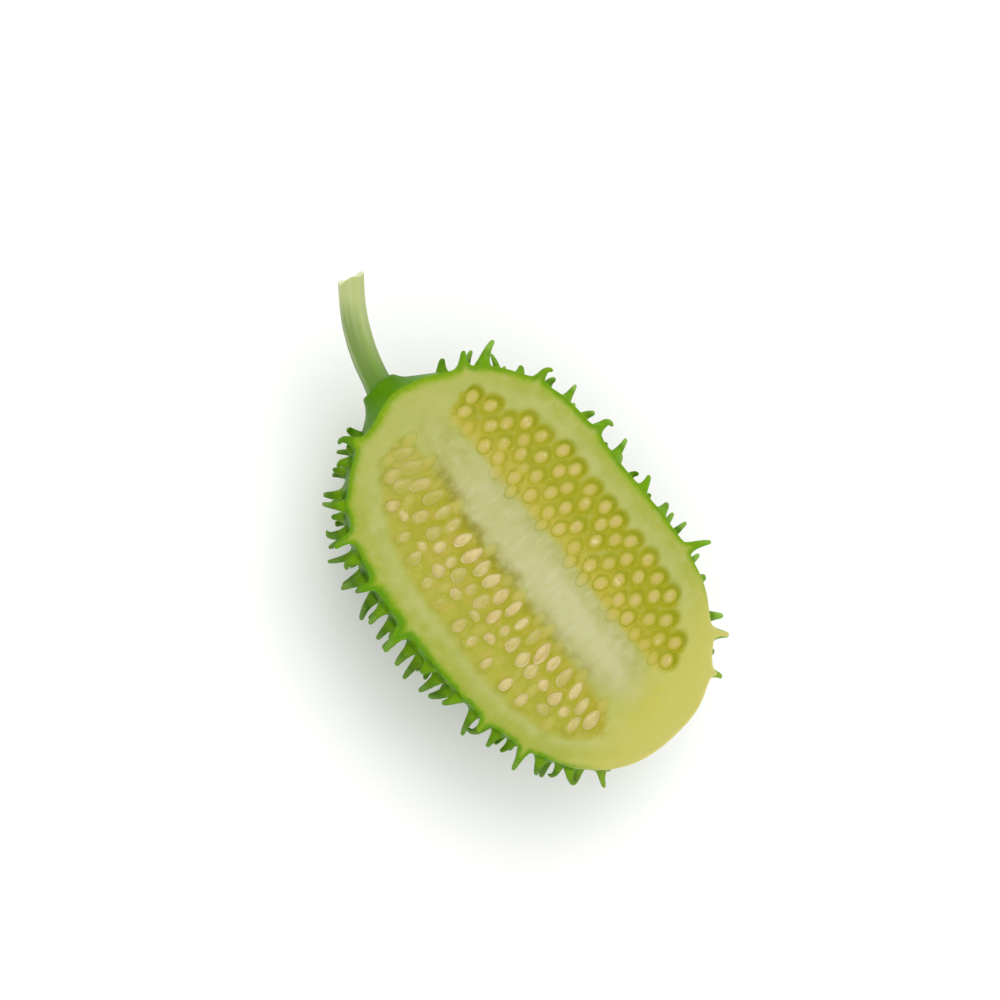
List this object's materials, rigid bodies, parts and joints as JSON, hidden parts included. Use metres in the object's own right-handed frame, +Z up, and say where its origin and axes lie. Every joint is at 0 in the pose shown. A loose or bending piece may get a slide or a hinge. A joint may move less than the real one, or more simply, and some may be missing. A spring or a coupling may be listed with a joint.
{
  "type": "west indian gherkin",
  "caption": "Halved West Indian gherkin lying on its spiny back, cut face up, with seeds in two gel bands and its whole stalk.",
  "frame": {"origin": "on the surface it lies on, under the middle of its bounding box", "axes": "+X along the fruit from the stalk to the blossom end, +Y across it, +Z up out of the cut face"},
  "size_m": [0.0912, 0.0544, 0.0251],
  "materials": {
    "rind": "waxy green skin, wet pale green flesh on the cut face",
    "stalk": "dull pale green, ridged",
    "seed": "wet cream"
  },
  "bodies": {
    "root": {"fruit_half": "rind", "stem": "stalk", "seed_01": "seed", "seed_02": "seed", "seed_03": "seed", "seed_04": "seed", "seed_05": "seed", "seed_06": "seed", "seed_07": "seed", "seed_08": "seed", "seed_09": "seed", "seed_10": "seed", "seed_11": "seed", "seed_12": "seed", "seed_13": "seed", "seed_14": "seed", "seed_15": "seed", "seed_16": "seed", "seed_17": "seed", "seed_18": "seed", "seed_19": "seed", "seed_20": "seed", "seed_21": "seed", "seed_22": "seed", "seed_23": "seed", "seed_24": "seed", "seed_25": "seed", "seed_26": "seed", "seed_27": "seed", "seed_28": "seed", "seed_29": "seed", "seed_30": "seed", "seed_31": "seed", "seed_32": "seed", "seed_33": "seed", "seed_34": "seed", "seed_35": "seed", "seed_36": "seed", "seed_37": "seed", "seed_38": "seed", "seed_39": "seed", "seed_40": "seed", "seed_41": "seed", "seed_42": "seed", "seed_43": "seed", "seed_44": "seed", "seed_45": "seed", "seed_46": "seed", "seed_47": "seed", "seed_48": "seed", "seed_49": "seed", "seed_50": "seed", "seed_51": "seed", "seed_52": "seed", "seed_53": "seed", "seed_54": "seed", "seed_55": "seed"}
  },
  "joints": []
}
